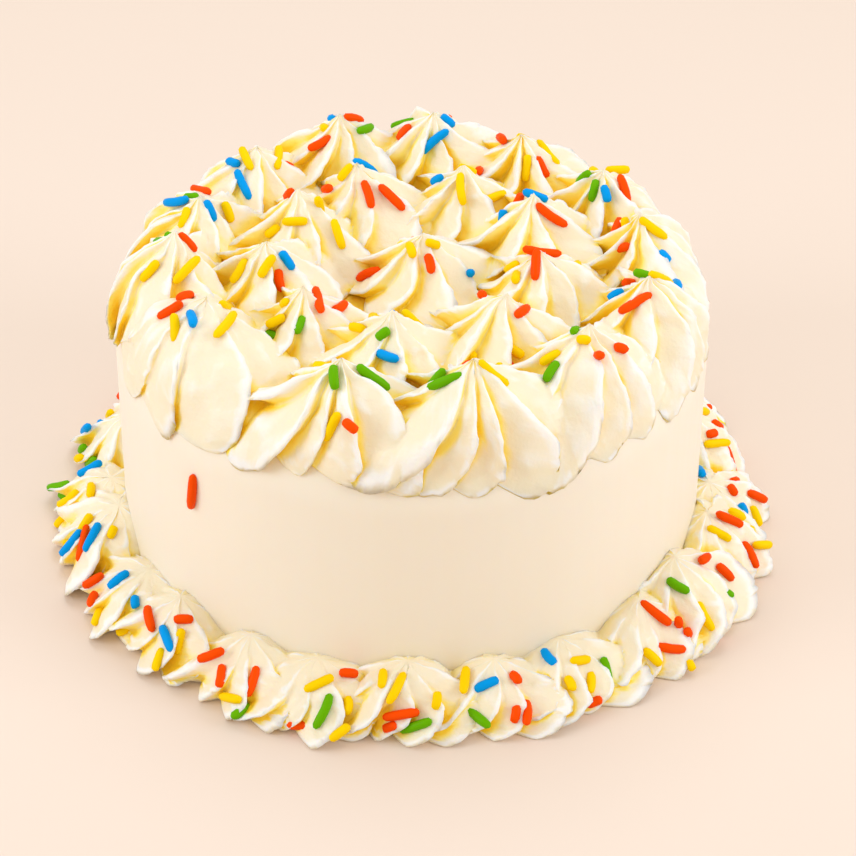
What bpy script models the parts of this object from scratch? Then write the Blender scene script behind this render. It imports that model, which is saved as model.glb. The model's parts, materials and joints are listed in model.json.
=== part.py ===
"""A round party cake: a smooth iced drum, piped stars of cream over its top and round its foot,
and sugar strands on the stars. Metres, +Z up, origin at the middle of the underside."""

import math
import random

import bmesh
import bpy
from mathutils import Vector

# Iced drum
BODY_RADIUS = 0.070
BODY_HEIGHT = 0.0645
EDGE_ROUND = 0.012
BODY_STEPS = 64
EDGE_STEPS = 3

# Touching pieces keep this much apart
GAP = 0.0003

# Stars by kind: radius, least and most height, bend and sharpness of the taper, ridges, depth of the
# valleys with its share at the foot, growth and closing, how much wider a star is sideways than
# outwards, how far the ridges differ, how far the tip leans any way and inward, how high the rings of
# faces lie, and strands on each
RIM = {
    "bed": "top",
    "radius": 0.0192,
    "heights": (0.0168, 0.0209),
    "taper": (1.6, 1.3),
    "ridges": 9,
    "valleys": (0.46, 0.60, 1.5, 1.6),
    "wider": 0.50,
    "uneven": 0.17,
    "lean": 0.0034,
    "inward": 0.0015,
    "rings_of_rise": (0.0, 0.15, 0.48, 0.80),
    "rooted": True,
    "strands": 6,
    "solid_strands": 3,
}
BROAD = dict(RIM, ridges=7, valleys=(0.30, 0.55, 1.5, 1.6), wider=0.75, uneven=0.06)
INNER = dict(
    RIM, radius=0.0215, heights=(0.0160, 0.0206), ridges=8, wider=0.0, inward=0.0, rooted=False
)
FOOT = {
    "bed": "board",
    "radius": 0.0148,
    "heights": (0.0118, 0.0178),
    "taper": (2.3, 0.85),
    "ridges": 10,
    "valleys": (0.36, 1.0, -0.2, 0.4),
    "wider": 0.32,
    "uneven": 0.16,
    "lean": 0.0012,
    "inward": 0.0018,
    "rings_of_rise": (0.0, 0.40, 0.82),
    "rooted": False,
    "strands": 6,
    "solid_strands": 2,
}

# Where the stars stand
RIM_REACH = 0.0560
RIM_FRONT_DEGREES = (-148, -106, -77, -47, -17)
RIM_BACK_COUNT = 8
RING_REACH = 0.0330
RING_WAVER = 0.0018
RING_WAVER_STEP = 1.7
RING_DEGREES = (-137, -100, -54, -13, 30, 70, 110, 148, 187)
MIDDLE_REACH = 0.0030
MIDDLE_DEGREES = 30
FOOT_REACH = 0.0744
FOOT_COUNT = 24
FOOT_WAVER_DEGREES = 1.6
FOOT_WAVER_STEP = 2.9
FOOT_SWAY = 0.0009
FOOT_SWAY_STEP = 5.3
NEIGHBOUR_REACH = 1.5

# Form of one star: petals round at its foot and keen at its tip, with a hollow slope up to the crest.
# The crest stands at this share of a petal's width and laps over the next valley, most at half height
CREST = 0.66
CREST_SHARPNESS = 0.75
CREST_BEND = 1.7
LAP_LOW = 0.10
LAP_HIGH = 0.22
CROWN_LOW = 0.70
CROWN_HIGH = 1.60
RIDGE_STEP = 2.4
TUCK_RISE = 0.15
TUCK_DEPTH = 0.10
TWIST = 0.55
CURL = 0.45
LEAN_BEND = 1.5
EDGE_SQUEEZE = 0.78
RADIUS_SPREAD = (0.94, 1.06)
TWIST_SPREAD = (0.5, 1.3)
DEPTH_SPREAD = (0.85, 1.15)

# How deep the rim stars reach into the drum before they are cut off at its skin
ROOT_DEPTH = 0.0030

# Sugar strands
STRAND_RADIUS = 0.00112
STRAND_LENGTHS = (0.0030, 0.0092)
STRAND_SINK = 0.30
STRAND_SIDES = 5
POLE_REACH = 0.1
STRAND_TRIES = 80
STRAND_RISES = (0.16, 0.86)
END_RISES = (0.05, 0.97)
TEST_SHARES = (-0.4, 0.0, 0.4)
STRANDS_APART = 2.2
CLEAN_REACHES = (0.0560, 0.0700)
STRAND_COLOURS = {
    "yellow": (1.0, 0.62, 0.01),
    "red": (0.96, 0.13, 0.02),
    "green": (0.13, 0.42, 0.01),
    "blue": (0.01, 0.33, 0.80),
}
STRAND_SHARES = (0.36, 0.32, 0.17, 0.15)
SIDE_STRAND_DEGREES = -134
SIDE_STRAND_HEIGHT = 0.0440
SIDE_STRAND_LENGTH = 0.0100
SIDE_STRAND_TILT = 0.12

# Each star draws its own unevenness from the seed and its number
SEED = 7
STAR_SEEDS = 1000
STRAND_SEEDS = 2000
RING_NUMBER = 20
MIDDLE_NUMBER = 30
FOOT_NUMBER = 40
TURN = 2 * math.pi
STEP = 1e-3


class Star:
    """One piped star: where it stands, its size, and how its ridges run."""

    def __init__(self, name, number, kind, reach, degrees):
        draw = random.Random(SEED * STAR_SEEDS + number)
        self.name = name
        self.number = number
        self.kind = kind
        self.outward = math.radians(degrees)
        out = Vector((math.cos(self.outward), math.sin(self.outward)))
        self.spot = out * reach
        self.ridges = kind["ridges"]
        self.radius = kind["radius"] * draw.uniform(*RADIUS_SPREAD)
        self.wider = kind["wider"]
        self.height = draw.uniform(*kind["heights"])
        self.phase = draw.uniform(0, TURN)
        self.twist = TWIST * draw.uniform(*TWIST_SPREAD)
        self.depth = kind["valleys"][0] * draw.uniform(*DEPTH_SPREAD)
        self.wobble = draw.uniform(0, TURN)
        lean_angle = draw.uniform(0, TURN)
        lean = draw.uniform(0.0, kind["lean"])
        self.lean = Vector((math.cos(lean_angle), math.sin(lean_angle))) * lean - out * kind["inward"]
        self.walls = []

    def point(self, column, rise):
        """Place over the bed and lift of a surface point. A whole column is a valley."""
        within = column % 1.0
        climb = 0.5 * min(within / CREST, (1 - within) / (1 - CREST))
        power = CROWN_LOW + (CROWN_HIGH - CROWN_LOW) * rise
        crown = math.sin(math.pi * climb) ** power
        crown += ((2 * climb) ** CREST_BEND - crown) * CREST_SHARPNESS
        ridge = math.floor(column) % self.ridges
        own_size = 1 + self.kind["uneven"] * math.sin(self.wobble + RIDGE_STEP * ridge) * crown
        bend, sharpness = self.kind["taper"]
        taper = (1 - rise**bend) ** sharpness
        tuck = 1 - TUCK_DEPTH * max(0.0, 1 - rise / TUCK_RISE) ** 2
        _, start, growth, closing = self.kind["valleys"]
        cut = start + growth * rise - closing * rise**2
        valley = 1 - self.depth * cut * (1 - crown)
        lap = LAP_LOW + (LAP_HIGH - LAP_LOW) * math.sin(math.pi * rise)
        bow = rise + CURL * math.sin(math.pi * rise)
        angle = self.phase + TURN * (column + lap * crown) / self.ridges + self.twist * bow
        wider = 1 + self.wider * math.sin(angle - self.outward) ** 2
        reach = self.radius * taper * tuck * valley * own_size * wider
        place = self.middle(rise) + Vector((math.cos(angle), math.sin(angle))) * reach
        return place, self.height * rise

    def middle(self, rise):
        """Where the leaning axis stands at a rise."""
        return self.spot + self.lean * rise**LEAN_BEND

    def hold(self, place, rise):
        """The place, drawn back towards the axis where it passes a neighbour's or the drum's wall."""
        middle = self.middle(rise)
        offset = place - middle
        share = 1.0
        for normal, distance in self.walls:
            past = offset.dot(normal)
            room = distance - (middle - self.spot).dot(normal)
            if past > room:
                share = min(share, room / past)
        if self.kind["bed"] == "board":
            inward = -middle.dot(offset)
            spare = middle.length_squared - (BODY_RADIUS + GAP) ** 2
            root = inward**2 - offset.length_squared * spare
            if inward > 0 and root > 0:
                share = min(share, (inward - math.sqrt(root)) / offset.length_squared)
        return middle + offset * share

    def room(self, place):
        """How far inside the nearest neighbour's wall a place lies."""
        offset = place - self.spot
        return min(distance - offset.dot(normal) for normal, distance in self.walls)

    def lay(self, place, lift):
        """The place over the bed as a point in space."""
        if self.kind["bed"] == "board":
            return Vector((place.x, place.y, lift))
        return drape(place, lift)

    def space(self, column, rise):
        return self.lay(*self.point(column, rise))


def drape(place, lift):
    """A point over the drum's top skin, measured along the top, round the edge and down the side."""
    along = place.length
    out = place / along if along > 1e-9 else Vector((1, 0))
    flat = BODY_RADIUS - EDGE_ROUND
    bend = min(max(0.0, (along - flat) / EDGE_ROUND), math.pi / 2)
    down = max(0.0, along - flat - EDGE_ROUND * math.pi / 2)
    thick = EDGE_ROUND + lift * (1 - EDGE_SQUEEZE * math.sin(bend) ** 2)
    reach = min(along, flat) + thick * math.sin(bend)
    height = BODY_HEIGHT - EDGE_ROUND + thick * math.cos(bend) - down
    return Vector((out.x * reach, out.y * reach, height))


def plan_stars():
    """Every star of the cake, rim first, with the walls between neighbours."""
    back_start, back_end = RIM_FRONT_DEGREES[-1], RIM_FRONT_DEGREES[0] + 360
    back_step = (back_end - back_start) / (RIM_BACK_COUNT + 1)
    back = [back_start + back_step * (i + 1) for i in range(RIM_BACK_COUNT)]
    stars = []
    for i, degrees in enumerate(list(RIM_FRONT_DEGREES) + back):
        kind = BROAD if i == 0 else RIM
        stars.append(Star(f"rim_star_{i + 1:02d}", i, kind, RIM_REACH, degrees))
    for i, degrees in enumerate(RING_DEGREES):
        reach = RING_REACH + RING_WAVER * math.sin(RING_WAVER_STEP * i)
        stars.append(Star(f"ring_star_{i + 1:02d}", RING_NUMBER + i, INNER, reach, degrees))
    stars.append(Star("middle_star", MIDDLE_NUMBER, INNER, MIDDLE_REACH, MIDDLE_DEGREES))
    for i in range(FOOT_COUNT):
        degrees = 360 * i / FOOT_COUNT - 90 + FOOT_WAVER_DEGREES * math.sin(FOOT_WAVER_STEP * i)
        reach = FOOT_REACH + FOOT_SWAY * math.sin(FOOT_SWAY_STEP * i)
        stars.append(Star(f"foot_star_{i + 1:02d}", FOOT_NUMBER + i, FOOT, reach, degrees))
    for star in stars:
        bed = star.kind["bed"]
        wall_off(star, [other for other in stars if other.kind["bed"] == bed and other is not star])
    return stars


def wall_off(star, others):
    """Upright walls half a gap inside the lines where the star meets its neighbours."""
    for other in others:
        between = other.spot - star.spot
        apart = between.length
        if apart > NEIGHBOUR_REACH * (star.radius + other.radius):
            continue
        share = (apart**2 + star.radius**2 - other.radius**2) / (2 * apart)
        star.walls.append((between / apart, share - GAP / 2))


def plan_strands(star):
    """Strands lying on a star, longest first: middle, direction, length and colour."""
    draw = random.Random(SEED * STRAND_SEEDS + star.number)
    laid = []
    for _ in range(STRAND_TRIES):
        column = draw.uniform(0, star.ridges)
        rise = draw.uniform(*STRAND_RISES)
        heading = draw.uniform(0, math.pi)
        length = draw.uniform(*STRAND_LENGTHS)
        limit = CLEAN_REACHES[0] + (CLEAN_REACHES[1] - CLEAN_REACHES[0]) * draw.random() ** 2
        colour = draw.choices(list(STRAND_COLOURS), STRAND_SHARES)[0]
        if len(laid) == star.kind["strands"]:
            continue
        strand = rest_strand(star, column, rise, heading, length, colour)
        if not strand:
            continue
        outside = star.kind["bed"] == "top" and strand[0].xy.length > limit
        if not outside and all(strands_apart(strand, other) for other in laid):
            laid.append(strand)
    return sorted(laid, key=lambda strand: -strand[2])


def rest_strand(star, column, rise, heading, length, colour):
    """A strand resting on the star's surface, or None where it would leave the star's own ground."""
    half = length / 2 - STRAND_RADIUS
    middle = star.space(column, rise)
    across = (star.space(column + STEP, rise) - star.space(column - STEP, rise)) / (2 * STEP)
    upward = (star.space(column, rise + STEP) - star.space(column, rise - STEP)) / (2 * STEP)
    normal = across.cross(upward).normalized()
    over = math.cos(heading) * half / across.length
    up = math.sin(heading) * half / upward.length
    ends = []
    for side in (-1, 1):
        end_rise = min(max(rise + side * up, END_RISES[0]), END_RISES[1])
        place, lift = star.point(column + side * over, end_rise)
        if star.room(place) < 2 * STRAND_RADIUS or lift < 2 * STRAND_RADIUS:
            return None
        if star.kind["bed"] == "board" and place.length < BODY_RADIUS + 2 * STRAND_RADIUS:
            return None
        ends.append(star.lay(place, lift))
    chord = (ends[0] + ends[1]) / 2
    bulge = max(0.0, (middle - chord).dot(normal))
    centre = chord + normal * (bulge + STRAND_RADIUS * (1 - 2 * STRAND_SINK))
    return centre, (ends[1] - ends[0]).normalized(), length, colour


def strands_apart(one, other):
    """Whether two strands are a width apart, tested at their ends and middles."""
    for share in TEST_SHARES:
        for other_share in TEST_SHARES:
            first = one[0] + one[1] * one[2] * share
            second = other[0] + other[1] * other[2] * other_share
            if (first - second).length < STRANDS_APART * STRAND_RADIUS:
                return False
    return True


def finish(name, colour, roughness):
    """A plain Principled material."""
    material = bpy.data.materials.new(name)
    material.use_nodes = True
    shader = material.node_tree.nodes["Principled BSDF"]
    shader.inputs["Base Color"].default_value = (*colour, 1)
    shader.inputs["Roughness"].default_value = roughness
    shader.inputs["Metallic"].default_value = 0
    return material


def add_object(name, mesh, material, collection):
    obj = bpy.data.objects.new(name, mesh)
    mesh.materials.append(material)
    collection.objects.link(obj)
    return obj


def build_drum(name, grow, material, collection):
    """The iced drum, or the same drum grown all round, turned from its outline by a Screw modifier."""
    bm = bmesh.new()
    outline = [(0, BODY_HEIGHT + grow)]
    for i in range(EDGE_STEPS + 1):
        bend = math.pi / 2 * i / EDGE_STEPS
        reach = BODY_RADIUS - EDGE_ROUND + (EDGE_ROUND + grow) * math.sin(bend)
        outline.append((reach, BODY_HEIGHT - EDGE_ROUND + (EDGE_ROUND + grow) * math.cos(bend)))
    outline += [(BODY_RADIUS + grow, -grow), (0, -grow)]
    corners = [bm.verts.new((x, 0, z)) for x, z in outline]
    for first, second in zip(corners, corners[1:]):
        bm.edges.new((first, second))
    mesh = bpy.data.meshes.new(name)
    bm.to_mesh(mesh)
    bm.free()
    obj = add_object(name, mesh, material, collection)
    turn = obj.modifiers.new("turn", "SCREW")
    turn.steps = turn.render_steps = BODY_STEPS
    turn.use_merge_vertices = True
    turn.merge_threshold = 0.00001
    turn.use_smooth_shade = True
    make_plain(obj)
    return obj


def make_plain(obj):
    """Applies the object's modifiers."""
    graph = bpy.context.evaluated_depsgraph_get()
    shaped = bpy.data.meshes.new_from_object(obj.evaluated_get(graph))
    old = obj.data
    name = old.name
    obj.modifiers.clear()
    obj.data = shaped
    bpy.data.meshes.remove(old)
    shaped.name = name


def build_star(star, material, collection):
    """One star: a ball whose parallels become the base, the foot, the rising rings and the tip.
    Its meridians become the valleys and crests of the petals by turns."""
    on_top = star.kind["bed"] == "top"
    samples = 2 * star.ridges
    rises = [0.0, *star.kind["rings_of_rise"], 1.0]
    levels = len(rises) - 1
    floor_lift = GAP if on_top else 0.0
    bm = bmesh.new()
    bmesh.ops.create_uvsphere(bm, u_segments=samples, v_segments=levels, radius=1)
    for vert in bm.verts:
        level = round(math.acos(max(-1.0, min(1.0, -vert.co.z))) / math.pi * levels)
        meridian = round(math.atan2(vert.co.y, vert.co.x) / TURN * samples) % samples
        column = meridian // 2 + (CREST if meridian % 2 else 0)
        rise = rises[level]
        place, lift = star.point(column, rise) if level else (star.spot, 0.0)
        vert.co = star.lay(star.hold(place, rise), max(lift, floor_lift))
        if star.kind["rooted"] and level < 2:
            vert.co.z -= ROOT_DEPTH
    bmesh.ops.recalc_face_normals(bm, faces=bm.faces)
    bmesh.ops.triangulate(bm, faces=bm.faces)
    mesh = bpy.data.meshes.new(star.name)
    bm.to_mesh(mesh)
    bm.free()
    return add_object(star.name, mesh, material, collection)


def build_strand(strand, material, collection):
    """One sugar strand: a ball with two parallels, drawn out along its length."""
    centre, direction, length, _ = strand
    bm = bmesh.new()
    bmesh.ops.create_uvsphere(bm, u_segments=STRAND_SIDES, v_segments=3, radius=1)
    straight = length / 2 - STRAND_RADIUS / 2
    aim = direction.to_track_quat("Z", "Y")
    for vert in bm.verts:
        side = 1 if vert.co.z > 0 else -1
        flat = Vector((vert.co.x, vert.co.y, 0))
        if flat.length < POLE_REACH:
            place = Vector((0, 0, side * length / 2))
        else:
            place = flat.normalized() * STRAND_RADIUS + Vector((0, 0, side * straight))
        vert.co = centre + aim @ place
    mesh = bpy.data.meshes.new("strand")
    bm.to_mesh(mesh)
    bm.free()
    return add_object("strand", mesh, material, collection)


def fuse_strands(obj, strands, materials, bed=None):
    """Joins the strands to the piece that they lie on with one Boolean union, and cuts the bed off below."""
    gathered = bpy.data.collections.new(obj.name + "_strands")
    bpy.context.scene.collection.children.link(gathered)
    for strand in strands:
        build_strand(strand, materials[strand[3]], gathered)
    join = obj.modifiers.new("strands", "BOOLEAN")
    join.operation = "UNION"
    join.operand_type = "COLLECTION"
    join.collection = gathered
    join.material_mode = "TRANSFER"
    if bed:
        cut = obj.modifiers.new("bed", "BOOLEAN")
        cut.operation = "DIFFERENCE"
        cut.object = bed
    make_plain(obj)
    for loose in list(gathered.objects):
        shape = loose.data
        bpy.data.objects.remove(loose)
        bpy.data.meshes.remove(shape)
    bpy.data.collections.remove(gathered)
    drop_scraps(obj.data)


def drop_scraps(mesh):
    """Keeps the largest closed surface, so loose scraps go and sealed hollows fill."""
    bm = bmesh.new()
    bm.from_mesh(mesh)
    bmesh.ops.triangulate(bm, faces=bm.faces)
    unseen = set(bm.faces)
    islands = []
    while unseen:
        island = set()
        front = [unseen.pop()]
        while front:
            face = front.pop()
            island.add(face)
            for edge in face.edges:
                for near in edge.link_faces:
                    if near in unseen:
                        unseen.remove(near)
                        front.append(near)
        islands.append(island)
    largest = max(islands, key=len)
    spare = [face for island in islands if island is not largest for face in island]
    bmesh.ops.delete(bm, geom=spare, context="FACES")
    bm.to_mesh(mesh)
    bm.free()


def side_strand():
    """The one strand that clings to the smooth side."""
    around = math.radians(SIDE_STRAND_DEGREES)
    out = Vector((math.cos(around), math.sin(around), 0))
    along = Vector((-out.y, out.x, 0)) * math.sin(SIDE_STRAND_TILT)
    along.z = math.cos(SIDE_STRAND_TILT)
    centre = out * (BODY_RADIUS + STRAND_RADIUS * (1 - 2 * STRAND_SINK))
    centre.z = SIDE_STRAND_HEIGHT
    return centre, along, SIDE_STRAND_LENGTH, "red"


def main():
    for obj in list(bpy.data.objects):
        bpy.data.objects.remove(obj)
    cake = bpy.data.collections.new("party_cake")
    bpy.context.scene.collection.children.link(cake)
    icing = finish("ivory_icing", (0.90, 0.80, 0.62), 0.55)
    cream = finish("piped_cream", (0.93, 0.84, 0.66), 0.50)
    sugar = {
        name: finish(f"{name}_strand", colour, 0.35) for name, colour in STRAND_COLOURS.items()
    }
    cutters = bpy.data.collections.new("cutters")
    bpy.context.scene.collection.children.link(cutters)
    drum = build_drum("cake_body", 0, icing, cake)
    bed = build_drum("bed_cutter", GAP, icing, cutters)
    bed.hide_render = True
    bed.display_type = "WIRE"
    fuse_strands(drum, [side_strand()], sugar)
    for star in plan_stars():
        obj = build_star(star, cream, cake)
        laid = plan_strands(star)[: star.kind["solid_strands"]]
        fuse_strands(obj, laid, sugar, bed if star.kind["rooted"] else None)
    for obj in cake.objects:
        obj.data.shade_smooth()
        obj.data.set_sharp_from_angle(angle=math.radians(40))


main()
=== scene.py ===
import json
import math
import random

import bpy
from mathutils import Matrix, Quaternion, Vector
from mathutils.bvhtree import BVHTree

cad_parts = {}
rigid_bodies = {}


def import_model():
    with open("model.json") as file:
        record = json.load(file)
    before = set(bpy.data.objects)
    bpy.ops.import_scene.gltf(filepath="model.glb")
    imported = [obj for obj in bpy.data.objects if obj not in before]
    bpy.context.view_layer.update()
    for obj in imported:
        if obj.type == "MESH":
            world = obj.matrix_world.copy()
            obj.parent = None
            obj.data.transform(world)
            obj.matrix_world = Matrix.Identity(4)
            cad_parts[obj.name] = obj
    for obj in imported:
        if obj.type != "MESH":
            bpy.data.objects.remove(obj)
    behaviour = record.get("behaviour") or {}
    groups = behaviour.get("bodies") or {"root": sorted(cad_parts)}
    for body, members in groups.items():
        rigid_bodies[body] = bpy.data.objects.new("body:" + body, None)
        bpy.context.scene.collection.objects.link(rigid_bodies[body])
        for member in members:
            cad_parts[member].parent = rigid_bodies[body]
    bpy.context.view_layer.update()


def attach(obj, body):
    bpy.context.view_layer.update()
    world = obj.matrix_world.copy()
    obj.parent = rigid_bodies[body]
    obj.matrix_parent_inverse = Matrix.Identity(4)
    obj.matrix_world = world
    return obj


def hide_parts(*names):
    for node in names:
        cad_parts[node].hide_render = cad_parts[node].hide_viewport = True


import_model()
scene = bpy.context.scene
turn = 2 * math.pi


class Link:
    # a node socket; + - * / between links, or with numbers, add the Math nodes
    def __init__(self, tree, socket=None):
        self.tree = tree
        self.socket = socket

    def node(self, kind, settings=None, values=None, out=0):
        new = self.tree.nodes.new(kind)
        for name, value in (settings or {}).items():
            if name == "stops":
                setStops(new.color_ramp, value)
            else:
                setattr(new, name, value)
        given = values.items() if isinstance(values, dict) else enumerate(values or ())
        for key, value in given:
            if isinstance(value, Link):
                self.tree.links.new(value.socket, new.inputs[key])
            elif value is not None:
                new.inputs[key].default_value = value
        return Link(self.tree, new.outputs[out])

    def beside(self, name):
        return Link(self.tree, self.socket.node.outputs[name])

    def maths(self, operation, *values):
        return self.node("ShaderNodeMath", {"operation": operation}, values)

    def vector(self, operation, *values, out=0):
        return self.node("ShaderNodeVectorMath", {"operation": operation}, values, out)

    def scaled(self, amount):
        return self.node("ShaderNodeVectorMath", {"operation": "SCALE"}, {0: self, 3: amount})

    def clamped(self, low, high):
        return self.maths("MINIMUM", self.maths("MAXIMUM", self, low), high)

    def noise(self, where, scale, detail, roughness=0.5, out=0):
        return self.node("ShaderNodeTexNoise", None, {
            "Vector": where, "Scale": scale, "Detail": detail, "Roughness": roughness}, out)

    def parts(self):
        apart = self.node("ShaderNodeSeparateXYZ", None, [self])
        return apart, apart.beside("Y"), apart.beside("Z")

    def together(self, x, y, z):
        return self.node("ShaderNodeCombineXYZ", None, [x, y, z])

    def __add__(self, other):
        return self.maths("ADD", self, other)

    def __radd__(self, other):
        return self.maths("ADD", other, self)

    def __sub__(self, other):
        return self.maths("SUBTRACT", self, other)

    def __rsub__(self, other):
        return self.maths("SUBTRACT", other, self)

    def __mul__(self, other):
        return self.maths("MULTIPLY", self, other)

    def __rmul__(self, other):
        return self.maths("MULTIPLY", other, self)

    def __truediv__(self, other):
        return self.maths("DIVIDE", self, other)

    def __rtruediv__(self, other):
        return self.maths("DIVIDE", other, self)

    def __pow__(self, other):
        return self.maths("POWER", self, other)


def setStops(ramp, stops):
    while len(ramp.elements) < len(stops):
        ramp.elements.new(1)
    for element, (place, colour) in zip(ramp.elements, stops):
        element.position = place
        element.color = colour


def newTree(name, inputs, takesMesh=False):
    tree = bpy.data.node_groups.new(name, "GeometryNodeTree")
    if takesMesh:
        tree.interface.new_socket("Geometry", in_out="INPUT", socket_type="NodeSocketGeometry")
    for label, (kind, value) in inputs.items():
        socket = tree.interface.new_socket(label, in_out="INPUT", socket_type=kind)
        if value is not None:
            socket.default_value = value
    tree.interface.new_socket("Geometry", in_out="OUTPUT", socket_type="NodeSocketGeometry")
    here = Link(tree)
    given = here.node("NodeGroupInput")
    found = {label: given.beside(label) for label in inputs}
    if takesMesh:
        found["Geometry"] = given.beside("Geometry")
    return tree, here, found


def closeTree(here, shape, material):
    # every tree ends by realizing its instances and setting the material
    real = here.node("GeometryNodeRealizeInstances", None, [shape])
    done = here.node("GeometryNodeSetMaterial", None, {"Geometry": real, "Material": material})
    end = here.tree.nodes.new("NodeGroupOutput")
    here.tree.links.new(done.socket, end.inputs[0])


def setInputs(modifier, values):
    for item in modifier.node_group.interface.items_tree:
        if item.item_type == "SOCKET" and item.in_out == "INPUT" and item.name in values:
            modifier[item.identifier] = values[item.name]


def makePlain(obj):
    # the object's modifiers become its mesh
    graph = bpy.context.evaluated_depsgraph_get()
    shaped = bpy.data.meshes.new_from_object(obj.evaluated_get(graph))
    old = obj.data
    obj.modifiers.clear()
    obj.data = shaped
    bpy.data.meshes.remove(old)
    shaped.name = obj.name
    return obj


def fromTree(name, tree, values, mesh=None):
    obj = bpy.data.objects.new(name, mesh or bpy.data.meshes.new(name))
    scene.collection.objects.link(obj)
    modifier = obj.modifiers.new("shape", "NODES")
    modifier.node_group = tree
    setInputs(modifier, values)
    return makePlain(obj)


def noiseShift(here, place, scale, detail, seed):
    # a random shift, middle zero
    where = here.vector("ADD", place, here.together(seed, 0.0, 0.0))
    return here.vector("SUBTRACT", here.noise(where, scale, detail, out=1), (0.5, 0.5, 0.5))


# Smooth iced side

# The iced drum that carries everything
drum = {
    "radius": 0.070,
    "height": 0.0645,
    "edgeRound": 0.012,
    "aroundSteps": 220,
    "sideStep": 0.0012,     # height of one row of faces
    "edgeSteps": 10,
    "waviness": 0.00035,    # how far hand smoothing leaves the side uneven
    "wavesPerMetre": 26.0,
    "waveStretch": 0.45,    # upwards; a wave is taller than it is wide
    "waveRoughness": 0.45,
    "stillMargin": 0.001,   # the top and the bottom face stay flat
}


def buildDrum(material):
    # a turned outline with the slight unevenness that a scraper leaves
    radius, high, edge = drum["radius"], drum["height"], drum["edgeRound"]
    outline = [Vector((0, 0, high))]
    for i in range(drum["edgeSteps"] + 1):
        bend = math.pi / 2 * i / drum["edgeSteps"]
        reach = radius - edge + edge * math.sin(bend)
        outline.append(Vector((reach, 0, high - edge + edge * math.cos(bend))))
    rows = round((high - edge) / drum["sideStep"])
    for i in range(rows):
        outline.append(Vector((radius, 0, (high - edge) * (1 - (i + 1) / rows))))
    outline.append(Vector((0, 0, 0)))
    mesh = bpy.data.meshes.new("smoothIcing")
    mesh.from_pydata(outline, [(i, i + 1) for i in range(len(outline) - 1)], [])
    obj = bpy.data.objects.new("smoothIcing", mesh)
    scene.collection.objects.link(obj)
    spin = obj.modifiers.new("turn", "SCREW")
    spin.steps = spin.render_steps = drum["aroundSteps"]
    spin.use_merge_vertices = True
    spin.merge_threshold = 0.00001
    makePlain(obj)
    tree, here, given = newTree("handSmoothed", {"Icing": ("NodeSocketMaterial", None)}, takesMesh=True)
    x, y, z = here.node("GeometryNodeInputPosition").parts()
    aboveFoot = here.maths("GREATER_THAN", z, drum["stillMargin"])
    belowTop = here.maths("LESS_THAN", z, high - drum["stillMargin"])
    where = here.together(x, y, z * drum["waveStretch"])
    waves = here.noise(where, drum["wavesPerMetre"], 2.0, drum["waveRoughness"])
    out = here.vector("NORMALIZE", here.together(x, y, 0.0))
    shift = out.scaled((waves - 0.5) * (aboveFoot * belowTop) * (2 * drum["waviness"]))
    moved = here.node("GeometryNodeSetPosition", None, {"Geometry": given["Geometry"], "Offset": shift})
    closeTree(here, here.node("GeometryNodeSetShadeSmooth", None, [moved]), given["Icing"])
    modifier = obj.modifiers.new("hand", "NODES")
    modifier.node_group = tree
    setInputs(modifier, {"Icing": material})
    makePlain(obj)
    print(f"{obj.name}: {len(obj.data.polygons)} faces")
    return obj


# Plan of the stars, the same draws as the solids have

# How any star is formed
starForm = {
    "crest": 0.66,          # where a petal's crest stands, in petal widths
    "crestSharpness": 0.75, # how far the round crest goes over to a keen one with hollow slopes
    "crestBend": 1.7,
    "lapLow": 0.10,         # how far it laps over the next valley at foot and tip
    "lapHigh": 0.22,        # and at half height
    "crownLow": 0.70,       # fat round petals at the foot of a star
    "crownHigh": 1.60,      # sharp ridges at its tip
    "ridgeStep": 2.4,
    "tuckRise": 0.15,
    "tuckDepth": 0.10,
    "twist": 0.55,
    "curl": 0.45,           # how far the petals bow at half height, as a share of the twist
    "leanBend": 1.5,
    "edgeSqueeze": 0.78,    # lobes over the edge flatten against the side
    "rootDepth": 0.0030,
    "radiusSpread": (0.94, 1.06),
    "twistSpread": (0.5, 1.3),
    "depthSpread": (0.85, 1.15),
}

# The kinds of star
rimKind = {
    "bed": "top",
    "radius": 0.0192,
    "heights": (0.0168, 0.0209),
    "taper": (1.6, 1.3),    # a pulled tip; the foot stars are rounder domes
    "ridges": 9,
    "valleys": (0.46, 0.60, 1.5, 1.6),      # depth; share of it at the foot; growth; closing
    "wider": 0.50,
    "uneven": 0.17,
    "lean": 0.0034,         # of the tip, any way
    "inward": 0.0015,
    "strands": 6,
}
broadKind = dict(rimKind, ridges=7, valleys=(0.30, 0.55, 1.5, 1.6), wider=0.75, uneven=0.06)
innerKind = dict(rimKind, radius=0.0215, heights=(0.0160, 0.0206), ridges=8, wider=0.0, inward=0.0)
footKind = {
    "bed": "floor",
    "radius": 0.0148,
    "heights": (0.0118, 0.0178),
    "taper": (2.3, 0.85),
    "ridges": 10,
    "valleys": (0.36, 1.0, -0.2, 0.4),
    "wider": 0.32,
    "uneven": 0.16,
    "lean": 0.0012,
    "inward": 0.0018,
    "strands": 6,
}

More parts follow.
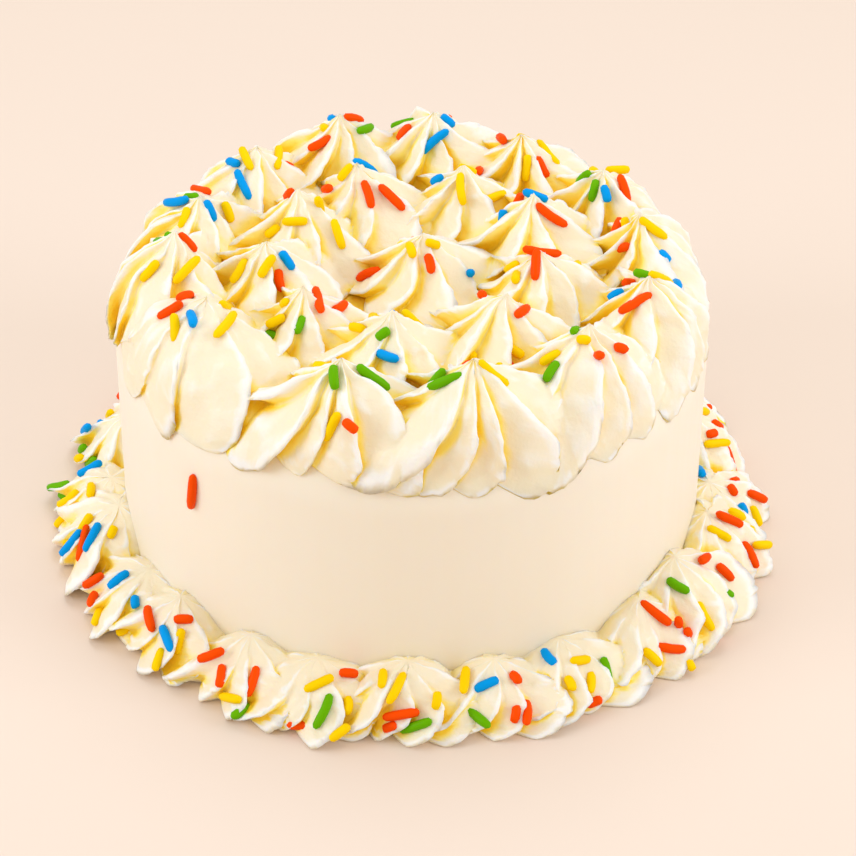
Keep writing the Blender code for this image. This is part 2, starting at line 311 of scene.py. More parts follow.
# Where the stars stand
starLayout = {
    "rimReach": 0.0560,
    "rimFrontDegrees": (-148, -106, -77, -47, -17),
    "rimBackCount": 8,
    "ringReach": 0.0330,
    "ringWaver": 0.0018,
    "ringWaverStep": 1.7,
    "ringDegrees": (-137, -100, -54, -13, 30, 70, 110, 148, 187),
    "middleReach": 0.0030,
    "middleDegrees": 30,
    "footReach": 0.0744,
    "footCount": 24,
    "footWaverDegrees": 1.6,
    "footWaverStep": 2.9,
    "footSway": 0.0009,
    "footSwayStep": 5.3,
    "neighbourReach": 1.5,
    "gap": 0.0003,
    "seed": 7,
    "starSeeds": 1000,
    "strandSeeds": 2000,
    "ringNumber": 20,
    "middleNumber": 30,
    "footNumber": 40,
}


class Star:
    def __init__(self, name, number, kind, reach, degrees):
        f = starForm
        draw = random.Random(starLayout["seed"] * starLayout["starSeeds"] + number)
        self.name = name
        self.number = number
        self.kind = kind
        self.outward = math.radians(degrees)
        out = Vector((math.cos(self.outward), math.sin(self.outward)))
        self.spot = out * reach
        self.ridges = kind["ridges"]
        self.radius = kind["radius"] * draw.uniform(*f["radiusSpread"])
        self.wider = kind["wider"]
        self.height = draw.uniform(*kind["heights"])
        self.phase = draw.uniform(0, turn)
        self.twist = f["twist"] * draw.uniform(*f["twistSpread"])
        self.depth = kind["valleys"][0] * draw.uniform(*f["depthSpread"])
        self.wobble = draw.uniform(0, turn)
        leanAngle = draw.uniform(0, turn)
        lean = draw.uniform(0.0, kind["lean"])
        self.lean = Vector((math.cos(leanAngle), math.sin(leanAngle))) * lean - out * kind["inward"]
        self.walls = []

    def point(self, column, rise):
        # place over the bed and lift; a whole column is a valley
        f = starForm
        within = column % 1.0
        climb = 0.5 * min(within / f["crest"], (1 - within) / (1 - f["crest"]))
        power = f["crownLow"] + (f["crownHigh"] - f["crownLow"]) * rise
        crown = math.sin(math.pi * climb) ** power
        crown += ((2 * climb) ** f["crestBend"] - crown) * f["crestSharpness"]
        ridge = math.floor(column) % self.ridges
        ownSize = 1 + self.kind["uneven"] * math.sin(self.wobble + f["ridgeStep"] * ridge) * crown
        bend, sharpness = self.kind["taper"]
        taper = (1 - rise**bend) ** sharpness
        tuck = 1 - f["tuckDepth"] * max(0.0, 1 - rise / f["tuckRise"]) ** 2
        _, start, growth, closing = self.kind["valleys"]
        cut = start + growth * rise - closing * rise**2
        valley = 1 - self.depth * cut * (1 - crown)
        lap = f["lapLow"] + (f["lapHigh"] - f["lapLow"]) * math.sin(math.pi * rise)
        bow = rise + f["curl"] * math.sin(math.pi * rise)
        angle = self.phase + turn * (column + lap * crown) / self.ridges + self.twist * bow
        wider = 1 + self.wider * math.sin(angle - self.outward) ** 2
        reach = self.radius * taper * tuck * valley * ownSize * wider
        place = self.spot + Vector((math.cos(angle), math.sin(angle))) * reach
        return place + self.lean * rise ** f["leanBend"], self.height * rise

    def room(self, place):
        # how far inside the nearest neighbour's wall a place lies
        offset = place - self.spot
        return min(distance - offset.dot(normal) for normal, distance in self.walls)

    def lay(self, place, lift):
        if self.kind["bed"] == "floor":
            return Vector((place.x, place.y, lift))
        return drape(place, lift)

    def space(self, column, rise):
        return self.lay(*self.point(column, rise))


def drape(place, lift):
    # a point over the top skin, measured along the top, round the edge and down the side
    along = place.length
    out = place / along if along > 1e-9 else Vector((1, 0))
    flat = drum["radius"] - drum["edgeRound"]
    bend = min(max(0.0, (along - flat) / drum["edgeRound"]), math.pi / 2)
    down = max(0.0, along - flat - drum["edgeRound"] * math.pi / 2)
    thick = drum["edgeRound"] + lift * (1 - starForm["edgeSqueeze"] * math.sin(bend) ** 2)
    reach = min(along, flat) + thick * math.sin(bend)
    height = drum["height"] - drum["edgeRound"] + thick * math.cos(bend) - down
    return Vector((out.x * reach, out.y * reach, height))


def planStars():
    plan = starLayout
    front = plan["rimFrontDegrees"]
    backStep = (front[0] + 360 - front[-1]) / (plan["rimBackCount"] + 1)
    rimDegrees = list(front) + [front[-1] + backStep * (i + 1) for i in range(plan["rimBackCount"])]
    stars = []
    for i, degrees in enumerate(rimDegrees):
        kind = broadKind if i == 0 else rimKind
        stars.append(Star(f"rim_star_{i + 1:02d}", i, kind, plan["rimReach"], degrees))
    for i, degrees in enumerate(plan["ringDegrees"]):
        reach = plan["ringReach"] + plan["ringWaver"] * math.sin(plan["ringWaverStep"] * i)
        stars.append(Star(f"ring_star_{i + 1:02d}", plan["ringNumber"] + i, innerKind, reach, degrees))
    middle = Star("middle_star", plan["middleNumber"], innerKind, plan["middleReach"], plan["middleDegrees"])
    stars.append(middle)
    for i in range(plan["footCount"]):
        waver = plan["footWaverDegrees"] * math.sin(plan["footWaverStep"] * i)
        degrees = 360 * i / plan["footCount"] - 90 + waver
        reach = plan["footReach"] + plan["footSway"] * math.sin(plan["footSwayStep"] * i)
        stars.append(Star(f"foot_star_{i + 1:02d}", plan["footNumber"] + i, footKind, reach, degrees))
    for star in stars:
        for other in stars:
            if other is not star and other.kind["bed"] == star.kind["bed"]:
                wallOff(star, other)
    print(f"{len(stars)} stars planned")
    return stars


def wallOff(star, other):
    # the straight wall that keeps a star's strands off its neighbour
    between = other.spot - star.spot
    apart = between.length
    if apart > starLayout["neighbourReach"] * (star.radius + other.radius):
        return
    share = (apart**2 + star.radius**2 - other.radius**2) / (2 * apart)
    star.walls.append((between / apart, share - starLayout["gap"] / 2))


# Piped cream

# Mesh and hand-made unevenness of the piped cream
creamMesh = {
    "topColumns": 116,
    "topRows": 42,
    "footColumns": 112,
    "footRows": 34,
    "baseShare": 0.10,      # of the ball's height that becomes the flat base
    "lump": 0.0019,
    "lumpsPerMetre": 85.0,
    "tear": 0.0012,
    "tearsPerMetre": 330.0,
    "tearSharpness": 4,     # how closely the tears keep to the crests
    "tearOnFlats": 0.2,     # share of their size that is left beside the crests
    "lumpFade": 4.0,        # lumps and tears are full from 1/4 of the rise
    "streak": 0.07,         # fine streaks that run from foot to tip, as a share of the reach
    "streakAround": 3.0,
    "streakUp": 1.5,
    "streakScale": 0.32,    # for each ridge
    "streakFade": 5.0,
    "shadeRays": 26,
    "shadeTurn": 2.4,       # radians between one ray and the next
    "shadeReach": 0.012,
    "shadeLift": 0.0002,
    "crestHighlightUpright": (3.0, 0.5),     # the painted highlight leaves out crests that face down: growth with uprightness, and start
}

starInputs = {
    "Columns": ("NodeSocketInt", 96),
    "Rows": ("NodeSocketInt", 36),
    "Ridges": ("NodeSocketFloat", 6.0),
    "Radius": ("NodeSocketFloat", 0.02),
    "Height": ("NodeSocketFloat", 0.02),
    "Wider": ("NodeSocketFloat", 0.0),
    "Uneven": ("NodeSocketFloat", 0.1),
    "Outward": ("NodeSocketFloat", 0.0),
    "Phase": ("NodeSocketFloat", 0.0),
    "Twist": ("NodeSocketFloat", 0.5),
    "Depth": ("NodeSocketFloat", 0.3),
    "Valley Start": ("NodeSocketFloat", 0.6),
    "Valley Growth": ("NodeSocketFloat", 1.5),
    "Valley Closing": ("NodeSocketFloat", 1.6),
    "Taper Bend": ("NodeSocketFloat", 1.6),
    "Taper Sharpness": ("NodeSocketFloat", 1.3),
    "Wobble": ("NodeSocketFloat", 0.0),
    "On Top": ("NodeSocketFloat", 1.0),
    "Spot": ("NodeSocketVector", (0.0, 0.0, 0.0)),
    "Lean": ("NodeSocketVector", (0.0, 0.0, 0.0)),
    "Cream": ("NodeSocketMaterial", None),
}


def pipedStarTree():
    # a ball whose parallels become the base, the petals and the pulled tip
    tree, here, given = newTree("pipedStar", starInputs)
    f, m = starForm, creamMesh
    ball = here.node("GeometryNodeMeshUVSphere", None, {
        "Segments": given["Columns"], "Rings": given["Rows"], "Radius": 1.0})
    x, y, z = here.node("GeometryNodeInputPosition").parts()
    around = here.maths("FRACT", here.maths("ARCTAN2", y, x) / turn + 1.0)
    level = here.maths("ARCCOSINE", (0 - z).clamped(-1.0, 1.0)) / math.pi
    rise = here.maths("MAXIMUM", (level - m["baseShare"]) / (1 - m["baseShare"]), 0.0)
    spread = here.maths("MINIMUM", level / m["baseShare"], 1.0)

    column = around * given["Ridges"]
    within = here.maths("FRACT", column)
    ridge = here.maths("FLOOR", column)
    climb = here.maths("MINIMUM", within / f["crest"], (1 - within) / (1 - f["crest"])) * 0.5
    power = rise * (f["crownHigh"] - f["crownLow"]) + f["crownLow"]
    crown = here.maths("MAXIMUM", here.maths("SINE", climb * math.pi), 0.0) ** power
    crown = crown + ((climb * 2) ** f["crestBend"] - crown) * f["crestSharpness"]
    ownSize = given["Uneven"] * here.maths("SINE", given["Wobble"] + ridge * f["ridgeStep"]) * crown + 1.0
    taper = here.maths("MAXIMUM", 1 - rise ** given["Taper Bend"], 0.0) ** given["Taper Sharpness"]
    tuck = 1 - here.maths("MAXIMUM", 1 - rise / f["tuckRise"], 0.0) ** 2 * f["tuckDepth"]
    cut = rise * given["Valley Growth"] - rise * rise * given["Valley Closing"] + given["Valley Start"]
    valley = 1 - given["Depth"] * cut * (1 - crown)
    midHeight = here.maths("SINE", rise * math.pi)
    lap = midHeight * (f["lapHigh"] - f["lapLow"]) + f["lapLow"]
    bow = rise + midHeight * f["curl"]
    angle = given["Phase"] + (column + crown * lap) / given["Ridges"] * turn + given["Twist"] * bow
    sideways = here.maths("SINE", angle - given["Outward"])
    wider = given["Wider"] * sideways * sideways + 1.0
    along = here.together(x * m["streakAround"], y * m["streakAround"], rise * m["streakUp"])
    lines = here.noise(along, given["Ridges"] * m["streakScale"], 1.0)
    streak = (lines - 0.5) * (m["streak"] * 2) * here.maths("MINIMUM", rise * m["streakFade"], 1.0) + 1.0
    reach = given["Radius"] * taper * tuck * valley * ownSize * wider * spread * streak
    ray = here.together(here.maths("COSINE", angle), here.maths("SINE", angle), 0.0)
    place = here.vector("ADD", given["Spot"], ray.scaled(reach))
    place = here.vector("ADD", place, given["Lean"].scaled(rise ** f["leanBend"]))
    lift = given["Height"] * rise - (1 - spread) * f["rootDepth"] * given["On Top"]

    onTop = drapeNodes(here, place, lift)
    px, py, _ = place.parts()
    onFloor = here.together(px, py, lift)
    laid = here.node("ShaderNodeMix", {"data_type": "VECTOR"}, {
        "Factor": given["On Top"], 4: onFloor, 5: onTop}, out=1)

    # soft lumps all over, and small tears along the ridges
    lumps = noiseShift(here, laid, m["lumpsPerMetre"], 1.0, given["Wobble"]).scaled(m["lump"] * 2)
    onCrest = crown ** m["tearSharpness"] * (1 - m["tearOnFlats"]) + m["tearOnFlats"]
    tears = noiseShift(here, laid, m["tearsPerMetre"], 2.0, given["Phase"]).scaled(onCrest * (m["tear"] * 2))
    shift = here.vector("ADD", lumps, tears).scaled(here.maths("MINIMUM", rise * m["lumpFade"], 1.0))
    # no point sinks below the floor
    lumpy = here.vector("MAXIMUM", here.vector("ADD", laid, shift), (-1.0, -1.0, 0.0))
    shaped = here.node("GeometryNodeSetPosition", None, {"Geometry": ball, "Position": lumpy})
    smooth = here.node("GeometryNodeSetShadeSmooth", None, [shaped])
    closeTree(here, smooth, given["Cream"])
    return tree


def drapeNodes(here, place, lift):
    # the same bed as drape gives
    flat = drum["radius"] - drum["edgeRound"]
    along = here.vector("LENGTH", place, out=1)
    out = here.vector("NORMALIZE", place)
    bend = ((along - flat) / drum["edgeRound"]).clamped(0.0, math.pi / 2)
    down = here.maths("MAXIMUM", along - (flat + drum["edgeRound"] * math.pi / 2), 0.0)
    lean = here.maths("SINE", bend)
    thick = lift * (1 - lean * lean * starForm["edgeSqueeze"]) + drum["edgeRound"]
    reach = here.maths("MINIMUM", along, flat) + thick * lean
    height = thick * here.maths("COSINE", bend) - down + (drum["height"] - drum["edgeRound"])
    ox, oy, _ = out.scaled(reach).parts()
    return here.together(ox, oy, height)


def pipeStar(star, tree, material):
    onTop = star.kind["bed"] == "top"
    _, start, growth, closing = star.kind["valleys"]
    bend, sharpness = star.kind["taper"]
    return fromTree(star.name + "_cream", tree, {
        "Columns": creamMesh["topColumns" if onTop else "footColumns"],
        "Rows": creamMesh["topRows" if onTop else "footRows"],
        "Ridges": float(star.ridges),
        "Radius": star.radius,
        "Height": star.height,
        "Wider": star.wider,
        "Uneven": star.kind["uneven"],
        "Outward": star.outward,
        "Phase": star.phase,
        "Twist": star.twist,
        "Depth": star.depth,
        "Valley Start": start,
        "Valley Growth": growth,
        "Valley Closing": closing,
        "Taper Bend": bend,
        "Taper Sharpness": sharpness,
        "Wobble": star.wobble,
        "On Top": 1.0 if onTop else 0.0,
        "Spot": (star.spot.x, star.spot.y, 0.0),
        "Lean": (star.lean.x, star.lean.y, 0.0),
        "Cream": material,
    })


def joinStars(name, stars, tree, material):
    # one union of all stars of a bed
    made = [pipeStar(star, tree, material) for star in stars]
    first, rest = made[0], made[1:]
    gathered = bpy.data.collections.new(name + "Stars")
    scene.collection.children.link(gathered)
    for obj in rest:
        scene.collection.objects.unlink(obj)
        gathered.objects.link(obj)
    first.name = name
    join = first.modifiers.new("join", "BOOLEAN")
    join.operation = "UNION"
    join.operand_type = "COLLECTION"
    join.collection = gathered
    join.solver = "MANIFOLD"
    makePlain(first)
    for obj in rest:
        shape = obj.data
        bpy.data.objects.remove(obj)
        bpy.data.meshes.remove(shape)
    bpy.data.collections.remove(gathered)
    print(f"{name}: {len(stars)} stars, {len(first.data.polygons)} faces")
    return first


def shadeTree():
    # how closed in each point is, by rays in many directions around its normal
    tree, here, given = newTree("creamShade", {
        "Cream": ("NodeSocketMaterial", None),
        "Around": ("NodeSocketCollection", None),
    }, takesMesh=True)
    near = here.node("GeometryNodeCollectionInfo", {"transform_space": "RELATIVE"}, {
        "Collection": given["Around"]})
    near = here.node("GeometryNodeRealizeInstances", None, [near])
    normal = here.node("GeometryNodeInputNormal")
    start = here.vector("ADD", here.node("GeometryNodeInputPosition"), normal.scaled(creamMesh["shadeLift"]))
    count = creamMesh["shadeRays"]
    closed = 0.0
    for i in range(count):
        height = 1 - (2 * i + 1) / count
        flat = math.sqrt(1 - height * height)
        angle = creamMesh["shadeTurn"] * i
        aim = (flat * math.cos(angle), flat * math.sin(angle), height)
        ray = here.node("GeometryNodeRaycast", None, {
            "Target Geometry": near,
            "Source Position": start,
            "Ray Direction": here.vector("ADD", normal, aim),
            "Ray Length": creamMesh["shadeReach"],
        })
        share = 1 - ray.beside("Hit Distance") / creamMesh["shadeReach"]
        closed = ray.beside("Is Hit") * share + closed
    # stored so the cream material can paint shade into its closed-in creases
    stored = here.node("GeometryNodeStoreNamedAttribute", {"data_type": "FLOAT", "domain": "POINT"}, {
        "Geometry": given["Geometry"], "Name": "closedIn", "Value": closed / count})
    # how sharply the skin bends outwards, so the crests can be paler: partly drier cream, partly a painted
    # highlight kept to crests that face up
    bent = here.node("GeometryNodeInputMeshEdgeAngle").beside("Signed Angle")
    bent = here.node("GeometryNodeBlurAttribute", {"data_type": "FLOAT"}, {0: bent, "Iterations": 1})
    _, _, upright = normal.parts()
    growth, least = creamMesh["crestHighlightUpright"]
    bent = bent * (upright * growth + least).clamped(0.0, 1.0)
    stored = here.node("GeometryNodeStoreNamedAttribute", {"data_type": "FLOAT", "domain": "POINT"}, {
        "Geometry": stored, "Name": "crest", "Value": bent})
    closeTree(here, stored, given["Cream"])
    return tree


def shadeCream(body, top, foot, material):
    # the rays run against copies, because a piece can't read itself
    around = bpy.data.collections.new("allCream")
    scene.collection.children.link(around)
    for obj in (body, top, foot):
        around.objects.link(obj.copy())
    tree = shadeTree()
    for obj in (top, foot):
        modifier = obj.modifiers.new("shade", "NODES")
        modifier.node_group = tree
        setInputs(modifier, {"Cream": material, "Around": around})
        makePlain(obj)
    for copy in list(around.objects):
        bpy.data.objects.remove(copy)
    bpy.data.collections.remove(around)
    print("cream shaded")


# Sugar strands

strandForm = {
    "radius": 0.00112,
    "lengths": (0.0030, 0.0092),
    "sink": 0.30,
    "tries": 80,
    "rises": (0.16, 0.86),
    "endRises": (0.05, 0.97),
    "testShares": (-0.4, 0.0, 0.4),
    "apart": 2.2,           # between two strands, in radii
    "cleanReaches": (0.0560, 0.0700),
    "bend": 0.0009,
    "bendsPerMetre": 70.0,
    "bendSeed": 3.0,
    "sides": 8,
    "rings": 7,
    "endSharpness": 8,      # the higher, the squarer are the strand's ends
    "endSize": 0.35,        # of the radius, at the very end
}
strandShares = {"yellow": 0.36, "red": 0.32, "green": 0.17, "blue": 0.15}
sideStrand = {"degrees": -134, "height": 0.0440, "length": 0.0100, "tilt": 0.12}


def planStrands(star):
    draw = random.Random(starLayout["seed"] * starLayout["strandSeeds"] + star.number)
    nearest, farthest = strandForm["cleanReaches"]
    laid = []
    for _ in range(strandForm["tries"]):
        column = draw.uniform(0, star.ridges)
        rise = draw.uniform(*strandForm["rises"])
        heading = draw.uniform(0, math.pi)
        length = draw.uniform(*strandForm["lengths"])
        limit = nearest + (farthest - nearest) * draw.random() ** 2
        colour = draw.choices(list(strandShares), list(strandShares.values()))[0]
        if len(laid) == star.kind["strands"]:
            continue
        strand = restStrand(star, column, rise, heading, length, colour)
        if not strand:
            continue
        outside = star.kind["bed"] == "top" and strand[0].xy.length > limit
        if not outside and all(strandsApart(strand, other) for other in laid):
            laid.append(strand)
    return laid


def restStrand(star, column, rise, heading, length, colour):
    # a strand resting on the star, or None where it would leave the star's own ground
    radius = strandForm["radius"]
    step = 1e-3
    half = length / 2 - radius
    middle = star.space(column, rise)
    across = (star.space(column + step, rise) - star.space(column - step, rise)) / (2 * step)
    upward = (star.space(column, rise + step) - star.space(column, rise - step)) / (2 * step)
    normal = across.cross(upward).normalized()
    over = math.cos(heading) * half / across.length
    up = math.sin(heading) * half / upward.length
    ends = []
    for side in (-1, 1):
        endRise = min(max(rise + side * up, strandForm["endRises"][0]), strandForm["endRises"][1])
        place, lift = star.point(column + side * over, endRise)
        if star.room(place) < 2 * radius or lift < 2 * radius:
            return None
        if star.kind["bed"] == "floor" and place.length < drum["radius"] + 2 * radius:
            return None
        ends.append(star.lay(place, lift))
    chord = (ends[0] + ends[1]) / 2
    bulge = max(0.0, (middle - chord).dot(normal))
    centre = chord + normal * (bulge + radius * (1 - 2 * strandForm["sink"]))
    return centre, (ends[1] - ends[0]).normalized(), length, colour


def strandsApart(one, other):
    for share in strandForm["testShares"]:
        for otherShare in strandForm["testShares"]:
            first = one[0] + one[1] * one[2] * share
            second = other[0] + other[1] * other[2] * otherShare
            if (first - second).length < strandForm["apart"] * strandForm["radius"]:
                return False
    return True


def strandOnSide():
    around = math.radians(sideStrand["degrees"])
    out = Vector((math.cos(around), math.sin(around), 0))
    along = Vector((-out.y, out.x, 0)) * math.sin(sideStrand["tilt"])
    along.z = math.cos(sideStrand["tilt"])
    centre = out * (drum["radius"] + strandForm["radius"] * (1 - 2 * strandForm["sink"]))
    centre.z = sideStrand["height"]
    return centre, along, sideStrand["length"], "red"


def settle(strand, skin):
    # the planned strand, moved onto the cream's real skin
    centre, along, length, colour = strand
    near, normal, _, _ = skin.find_nearest(centre)
    onSkin = near + normal * strandForm["radius"] * (1 - 2 * strandForm["sink"])
    return onSkin, along, length, colour


def strandTree():
    # each edge of the guide mesh becomes a rounded, slightly bent strand
    tree, here, given = newTree("sugarStrands", {
        "Radius": ("NodeSocketFloat", strandForm["radius"]),
        "Bend": ("NodeSocketFloat", strandForm["bend"]),
        "Sides": ("NodeSocketInt", strandForm["sides"]),
        "Rings": ("NodeSocketInt", strandForm["rings"]),
        "Sugar": ("NodeSocketMaterial", None),
    }, takesMesh=True)
    line = here.node("GeometryNodeMeshToCurve", None, [given["Geometry"]])
    line = here.node("GeometryNodeResampleCurve", None, {"Curve": line, "Count": given["Rings"]})
    share = here.node("GeometryNodeSplineParameter", out="Index") / (given["Rings"] - 1.0)
    eased = 0.5 - here.maths("COSINE", share * math.pi) * 0.5
    # the points crowd towards both ends, where the strand rounds off
    length = here.node("GeometryNodeSplineLength")
    tangent = here.node("GeometryNodeInputTangent")
    slide = tangent.scaled((eased - share) * length)
    line = here.node("GeometryNodeSetPosition", None, {"Geometry": line, "Offset": slide})
    middle = eased * 2.0 - 1.0
    arch = 1 - middle * middle
    place = here.node("GeometryNodeInputPosition")
    bends = noiseShift(here, place, strandForm["bendsPerMetre"], 0.0, strandForm["bendSeed"])
    offset = bends.scaled(arch * given["Bend"] * 2.0)
    line = here.node("GeometryNodeSetPosition", None, {"Geometry": line, "Offset": offset})
    ends = here.maths("SQRT", here.maths("MAXIMUM", 1 - middle ** strandForm["endSharpness"], 0.0))
    size = here.maths("MAXIMUM", ends, strandForm["endSize"]) * given["Radius"]
    ring = here.node("GeometryNodeCurvePrimitiveCircle", None, {"Resolution": given["Sides"], "Radius": 1.0})
    tube = here.node("GeometryNodeCurveToMesh", None, {
        "Curve": line, "Profile Curve": ring, "Scale": size, "Fill Caps": True})
    closeTree(here, here.node("GeometryNodeSetShadeSmooth", None, [tube]), given["Sugar"])
    return tree


def buildStrands(colour, strands, tree, material):
    points = []
    for centre, along, length, _ in strands:
        points += [centre - along * length / 2, centre + along * length / 2]
    guide = bpy.data.meshes.new(f"{colour}Strands")
    guide.from_pydata(points, [(i, i + 1) for i in range(0, len(points), 2)], [])
    obj = fromTree(f"{colour}Strands", tree, {"Sugar": material}, guide)
    print(f"{obj.name}: {len(strands)} strands")
    return obj


# Materials

def newMaterial(name):
    material = bpy.data.materials.new(name)
    material.use_nodes = True
    shader = material.node_tree.nodes["Principled BSDF"]
    return material, shader, Link(material.node_tree)


def feed(shader, name, link):
    link.tree.links.new(link.socket, shader.inputs[name])


def mixColours(here, factor, first, second):
    return here.node("ShaderNodeMix", {"data_type": "RGBA"}, {
        "Factor": factor, 6: first if isinstance(first, Link) else (*first, 1),
        7: second if isinstance(second, Link) else (*second, 1)}, out=2)


def addBump(shader, look, height):
    strength, distance = look["bump"]
    bump = height.node("ShaderNodeBump", None, {"Strength": strength, "Distance": distance, "Height": height})
    feed(shader, "Normal", bump)


def addRoughness(shader, look, pattern):
    spread = look["roughnessSpread"]
    feed(shader, "Roughness", pattern * spread + (look["roughness"] - spread / 2))


softLook = {
    "softness": 0.30,
    "depth": 0.0025,
    "byColour": (1.0, 0.72, 0.40),
}


def makeSoft(shader):
    shader.inputs["Subsurface Weight"].default_value = softLook["softness"]
    shader.inputs["Subsurface Radius"].default_value = softLook["byColour"]
    shader.inputs["Subsurface Scale"].default_value = softLook["depth"]


creamLook = {
    "stops": (              # painted shade: ivory to deep yellow by how closed in the cream is, where less light reaches
        (0.00, (0.855, 0.765, 0.568, 1)),
        (0.18, (0.905, 0.790, 0.560, 1)),
        (0.36, (1.000, 0.805, 0.200, 1)),
        (0.56, (1.000, 0.685, 0.030, 1)),
    ),
    # paler crests: partly drier cream, partly a painted highlight
    "crest": (0.876, 0.854, 0.792),
    "crestBends": (0.06, 0.24),     # radians between faces where the paler crests begin and are full; partly drier cream, partly a painted highlight
    "pressedOn": (0.070, 0.079),    # from the middle: where the painted shade in the foot's creases begins, and is full
    "pressedShare": 0.25,   # of that painted shade, right at the side
    "footCreaseShade": 1.4,     # how much deeper the painted shade in the foot's creases is
    "patchesPerMetre": 90.0,
    "patchSpread": 0.5,
    "roughness": 0.46,
    "roughnessSpread": 0.16,
    "finePerMetre": 1400.0,
    "mediumPerMetre": 420.0,
    "fineShare": 0.3,
    "bump": (0.35, 0.0008),
}


def creamMaterial():
    look = creamLook
    material, shader, here = newMaterial("pipedCream")
    spot = here.node("ShaderNodeTexCoord").beside("Object")
    closedIn = here.node("ShaderNodeAttribute", {"attribute_name": "closedIn"}, out="Fac")
    bent = here.node("ShaderNodeAttribute", {"attribute_name": "crest"}, out="Fac")

    # painted shade: the foot is pressed on the side, so less painted shade goes into the crease there, and
    # more into the foot's other creases
    x, y, z = spot.parts()
    onTop = here.maths("GREATER_THAN", z, drum["height"] / 2)
    nearest, farthest = look["pressedOn"]
    away = (here.vector("LENGTH", here.together(x, y, 0.0), out=1) - nearest) / (farthest - nearest)
    away = here.maths("MINIMUM", here.maths("MAXIMUM", away, onTop), 1.0)
    closedIn = closedIn * (away * (1 - look["pressedShare"]) + look["pressedShare"])
    closedIn = closedIn * (onTop * (1 - look["footCreaseShade"]) + look["footCreaseShade"])

    # painted shade in the creases, unevenly deep in patches, coloured by the ramp
    patches = here.noise(spot, look["patchesPerMetre"], 2.0)
    depth = closedIn * (patches * look["patchSpread"] + (1 - look["patchSpread"] / 2))
    shade = here.node("ShaderNodeValToRGB", {"stops": look["stops"]}, [depth])
    # painted highlight in part: the crests turn paler, as drier cream and as a painted highlight
    least, most = look["crestBends"]
    pale = ((bent - least) / (most - least)).clamped(0.0, 1.0)
    feed(shader, "Base Color", mixColours(here, pale, shade, look["crest"]))
    fine = here.noise(spot, look["finePerMetre"], 3.0, 0.6)
    medium = here.noise(spot, look["mediumPerMetre"], 2.0)
    addRoughness(shader, look, fine)
    addBump(shader, look, fine * look["fineShare"] + medium * (1 - look["fineShare"]))
    makeSoft(shader)
    return material


icingLook = {
    "ivory": (0.862, 0.798, 0.685),
    "warmer": (1.0, 0.965, 0.90),       # the warm patches, as shares of the ivory
    "shadeUnderStars": (1.0, 0.68, 0.06),    # painted shade: the top skin, seen only deep between the stars, takes the deep yellow of the cream's painted crease shade
    "underDepth": 0.002,
    "patchesPerMetre": 30.0,
    "marksPerMetre": 260.0,             # faint upright marks of the scraper
    "markStretch": 0.08,
    "markShare": 0.4,
    "roughness": 0.50,
    "roughnessSpread": 0.2,
    "bump": (0.15, 0.0003),
}


def icingMaterial():
    look = icingLook
    material, shader, here = newMaterial("smoothIcing")
    spot = here.node("ShaderNodeTexCoord").beside("Object")
    x, y, z = spot.parts()
    marks = here.noise(here.together(x, y, z * look["markStretch"]), look["marksPerMetre"], 2.0)
    patches = here.noise(spot, look["patchesPerMetre"], 2.0)
    shade = patches * (1 - look["markShare"]) + marks * look["markShare"]
    warm = tuple(c * share for c, share in zip(look["ivory"], look["warmer"]))
    ivory = mixColours(here, shade, look["ivory"], warm)
    # painted shade on the top skin, which shows only in the shaded gaps between the stars
    shadedTopSkin = here.maths("GREATER_THAN", z, drum["height"] - look["underDepth"])
    feed(shader, "Base Color", mixColours(here, shadedTopSkin, ivory, look["shadeUnderStars"]))
    addRoughness(shader, look, marks)
    addBump(shader, look, marks)
    makeSoft(shader)
    return material


sugarColours = {
    "yellow": (0.88, 0.575, 0.0),
    "red": (0.855, 0.070, 0.0),
    "green": (0.120, 0.385, 0.0),
    "blue": (0.0, 0.288, 0.725),
}
sugarLook = {
    "shine": 0.05,
    "paler": 1.10,
    "blotchesPerMetre": 350.0,
    "roughness": 0.30,
    "roughnessSpread": 0.25,
    "grainsPerMetre": 2400.0,
    "bump": (0.12, 0.0002),
}


def sugarMaterial(name):
    look = sugarLook
    material, shader, here = newMaterial(f"{name}Sugar")
    spot = here.node("ShaderNodeTexCoord").beside("Object")
    blotch = here.noise(spot, look["blotchesPerMetre"], 2.0)
    colour = sugarColours[name]
    pale = tuple(min(1.0, c * look["paler"]) for c in colour)
    feed(shader, "Base Color", mixColours(here, blotch, colour, pale))
    feed(shader, "Roughness", blotch * look["roughnessSpread"] + look["roughness"])
    shader.inputs["Specular IOR Level"].default_value = look["shine"]
    addBump(shader, look, here.noise(spot, look["grainsPerMetre"], 2.0))
    return material


# Stage, lights and camera

studio = {
    "floor": (0.790, 0.664, 0.562),
    "floorDarker": 0.97,
    "floorCloudsPerMetre": 3.0,
    "floorRoughness": 0.9,
    "floorShine": 0.1,
    "floorHalf": 3.0,
    "world": (1.0, 0.94, 0.86),
    "worldStrength": 0.850,
    "lights": (
        # name, azimuth, elevation, distance, size, watts
        ("leftWindow", -160, 26, 0.85, 0.45, 2.5),
        ("rightWindow", -16, 26, 0.85, 0.45, 2.5),
        ("above", 90, 68, 0.90, 0.60, 2.1),
    ),
    "lightColour": (0.88, 0.96, 1.10),
    "aimHeight": 0.04,
}


def floorMaterial():
    material, shader, here = newMaterial("paleFloor")
    spot = here.node("ShaderNodeTexCoord").beside("Object")
    cloud = here.noise(spot, studio["floorCloudsPerMetre"], 2.0)
    darker = tuple(c * studio["floorDarker"] for c in studio["floor"])
    feed(shader, "Base Color", mixColours(here, cloud, studio["floor"], darker))
    shader.inputs["Roughness"].default_value = studio["floorRoughness"]
    shader.inputs["Specular IOR Level"].default_value = studio["floorShine"]
    return material


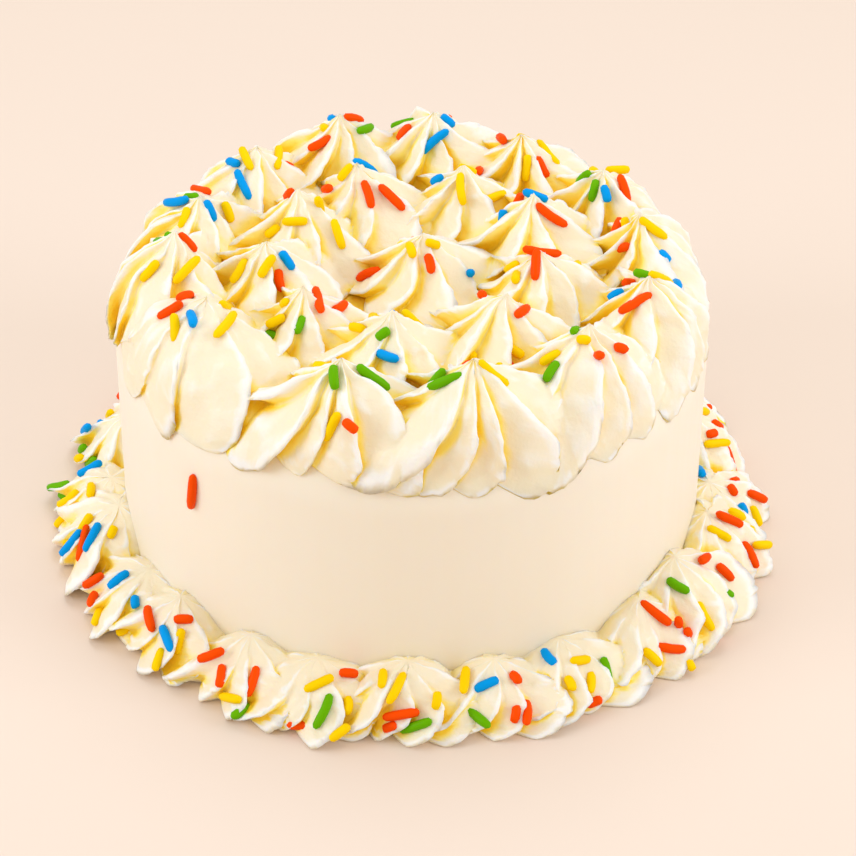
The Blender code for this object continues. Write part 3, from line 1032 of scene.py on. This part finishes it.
def buildStage():
    mesh = bpy.data.meshes.new("floor")
    half = studio["floorHalf"]
    corners = [(-half, -half, 0), (half, -half, 0), (half, half, 0), (-half, half, 0)]
    mesh.from_pydata(corners, [], [(0, 1, 2, 3)])
    floor = bpy.data.objects.new("floor", mesh)
    mesh.materials.append(floorMaterial())
    scene.collection.objects.link(floor)
    world = bpy.data.worlds.new("studio")
    scene.world = world
    world.use_nodes = True
    back = world.node_tree.nodes["Background"]
    back.inputs["Color"].default_value = (*studio["world"], 1)
    back.inputs["Strength"].default_value = studio["worldStrength"]
    for name, azimuth, elevation, distance, size, watts in studio["lights"]:
        light = bpy.data.lights.new(name, "AREA")
        light.shape = "DISK"
        light.size = size
        light.energy = watts
        light.color = studio["lightColour"]
        obj = bpy.data.objects.new(name, light)
        a, e = math.radians(azimuth), math.radians(elevation)
        aim = Vector((math.cos(a) * math.cos(e), math.sin(a) * math.cos(e), math.sin(e)))
        obj.location = aim * distance + Vector((0, 0, studio["aimHeight"]))
        obj.rotation_mode = "QUATERNION"
        obj.rotation_quaternion = aim.to_track_quat("Z", "Y")
        scene.collection.objects.link(obj)
    scene.view_settings.view_transform = "Standard"
    print("floor and lights ready")


photoView = {
    "lens": 120.74,
    "pitch": 35.27,
    "roll": 0.5,
    "place": (0.00406, -0.57003, 0.42946),
    "sensor": 36.0,
}


def buildCamera():
    data = bpy.data.cameras.new("photoView")
    data.lens = photoView["lens"]
    data.sensor_width = photoView["sensor"]
    camera = bpy.data.objects.new("photoView", data)
    camera.location = photoView["place"]
    pitch, roll = math.radians(photoView["pitch"]), math.radians(photoView["roll"])
    forward = Vector((0, math.cos(pitch), -math.sin(pitch)))
    camera.rotation_mode = "QUATERNION"
    level = forward.to_track_quat("-Z", "Y")
    camera.rotation_quaternion = level @ Quaternion((0, 0, 1), roll)
    scene.collection.objects.link(camera)
    scene.camera = camera
    print("camera ready")


def main():
    cream = creamMaterial()
    stars = planStars()
    starTree = pipedStarTree()
    onTop = [star for star in stars if star.kind["bed"] == "top"]
    onFloor = [star for star in stars if star.kind["bed"] == "floor"]
    body = buildDrum(icingMaterial())
    top = joinStars("creamTop", onTop, starTree, cream)
    foot = joinStars("creamFoot", onFloor, starTree, cream)
    graph = bpy.context.evaluated_depsgraph_get()
    skins = {"top": BVHTree.FromObject(top, graph), "floor": BVHTree.FromObject(foot, graph)}
    shadeCream(body, top, foot, cream)
    laid = [strandOnSide()]
    for star in stars:
        laid += [settle(strand, skins[star.kind["bed"]]) for strand in planStrands(star)]
    lines = strandTree()
    for name in strandShares:
        mine = [strand for strand in laid if strand[3] == name]
        piece = buildStrands(name, mine, lines, sugarMaterial(name))
        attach(piece, "root")
    for piece, nodes, slot in (
        (body, ["cake_body"], "smooth_icing"),
        (top, [star.name for star in onTop], "piped_cream"),
        (foot, [star.name for star in onFloor], "piped_cream"),
    ):
        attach(piece, "root")
        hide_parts(*nodes)
    buildStage()
    buildCamera()


main()
